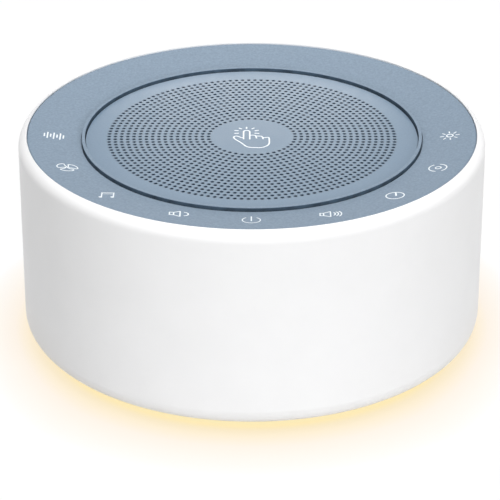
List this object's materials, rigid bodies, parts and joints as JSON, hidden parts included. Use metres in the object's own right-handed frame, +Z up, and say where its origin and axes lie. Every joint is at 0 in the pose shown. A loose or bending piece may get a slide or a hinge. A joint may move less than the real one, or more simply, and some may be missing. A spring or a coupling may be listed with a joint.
{
  "type": "white noise sound machine",
  "caption": "Round table-top sound machine: white shell, dished blue ring with touch keys, perforated speaker grille and a night-light ring under its lower edge.",
  "frame": {"origin": "middle of the footprint, on the surface that the feet stand on", "axes": "+Z is up, the power key is at -Y (front), the power inlet is at +Y (rear)"},
  "size_m": [0.11, 0.11, 0.051],
  "materials": {
    "white_plastic": "satin",
    "blue_plastic": "satin",
    "blue_metal": "matt paint",
    "navy_rubber": "matt",
    "black_cloth": "woven",
    "circuit_board": "solder mask",
    "white_board": "solder mask",
    "conductive_foam": "matt",
    "black_rubber": "matt",
    "grey_rubber": "matt",
    "black_chip": "matt",
    "ivory_plastic": "satin",
    "grey_cable": "satin",
    "red_cable": "satin",
    "black_plastic": "satin",
    "pressed_steel": "satin paint",
    "black_paper": "pressed pulp",
    "yellow_cloth": "varnished weave",
    "amber_film": "gloss",
    "copper": "enamelled wire",
    "zinc_steel": "zinc plate",
    "ferrite": "ground",
    "brown_board": "matt",
    "blue_can": "sleeve",
    "nickel_steel": "nickel plate",
    "led_phosphor": "gloss",
    "diffuser": "frosted"
  },
  "bodies": {
    "case": {"housing": "white_plastic", "base_plate": "white_plastic", "touch_panel": "blue_plastic", "speaker_grille": "blue_metal", "rim_cap": "blue_plastic", "rim_band": "navy_rubber", "dust_screen": "black_cloth", "touch_board": "circuit_board", "main_board": "circuit_board", "led_board": "white_board", "touch_pads": "conductive_foam", "speaker_gasket": "black_rubber", "surround": "black_rubber", "rubber_feet": "grey_rubber", "touch_chip": "black_chip", "board_chips": "black_chip", "led_header": "black_chip", "touch_connector": "ivory_plastic", "ribbon_connector": "ivory_plastic", "lead_connector": "ivory_plastic", "ribbon_cable": "grey_cable", "speaker_leads": "red_cable", "speaker_frame": "black_plastic", "speaker_basket": "pressed_steel", "spider": "yellow_cloth", "top_plate": "zinc_steel", "yoke": "zinc_steel", "magnet": "ferrite", "terminal_strip": "brown_board", "capacitors": "blue_can", "usb_socket": "nickel_steel", "frame_screws": "zinc_steel", "panel_screws": "zinc_steel", "speaker_screws": "zinc_steel", "board_screws": "zinc_steel", "base_screws": "zinc_steel", "leds": "led_phosphor", "light_ring": "diffuser"},
    "cone": {"speaker_cone": "black_paper", "dust_cap": "black_paper", "coil_former": "amber_film", "coil_winding": "copper"}
  },
  "joints": [
    {"name": "cone_travel", "type": "slide", "parent": "case", "child": "cone", "axis": [0, 0, 1], "range_m": [-0.0015, 0.0015], "stiffness_N_per_m": 1300, "deforming": ["surround", "spider"]}
  ]
}
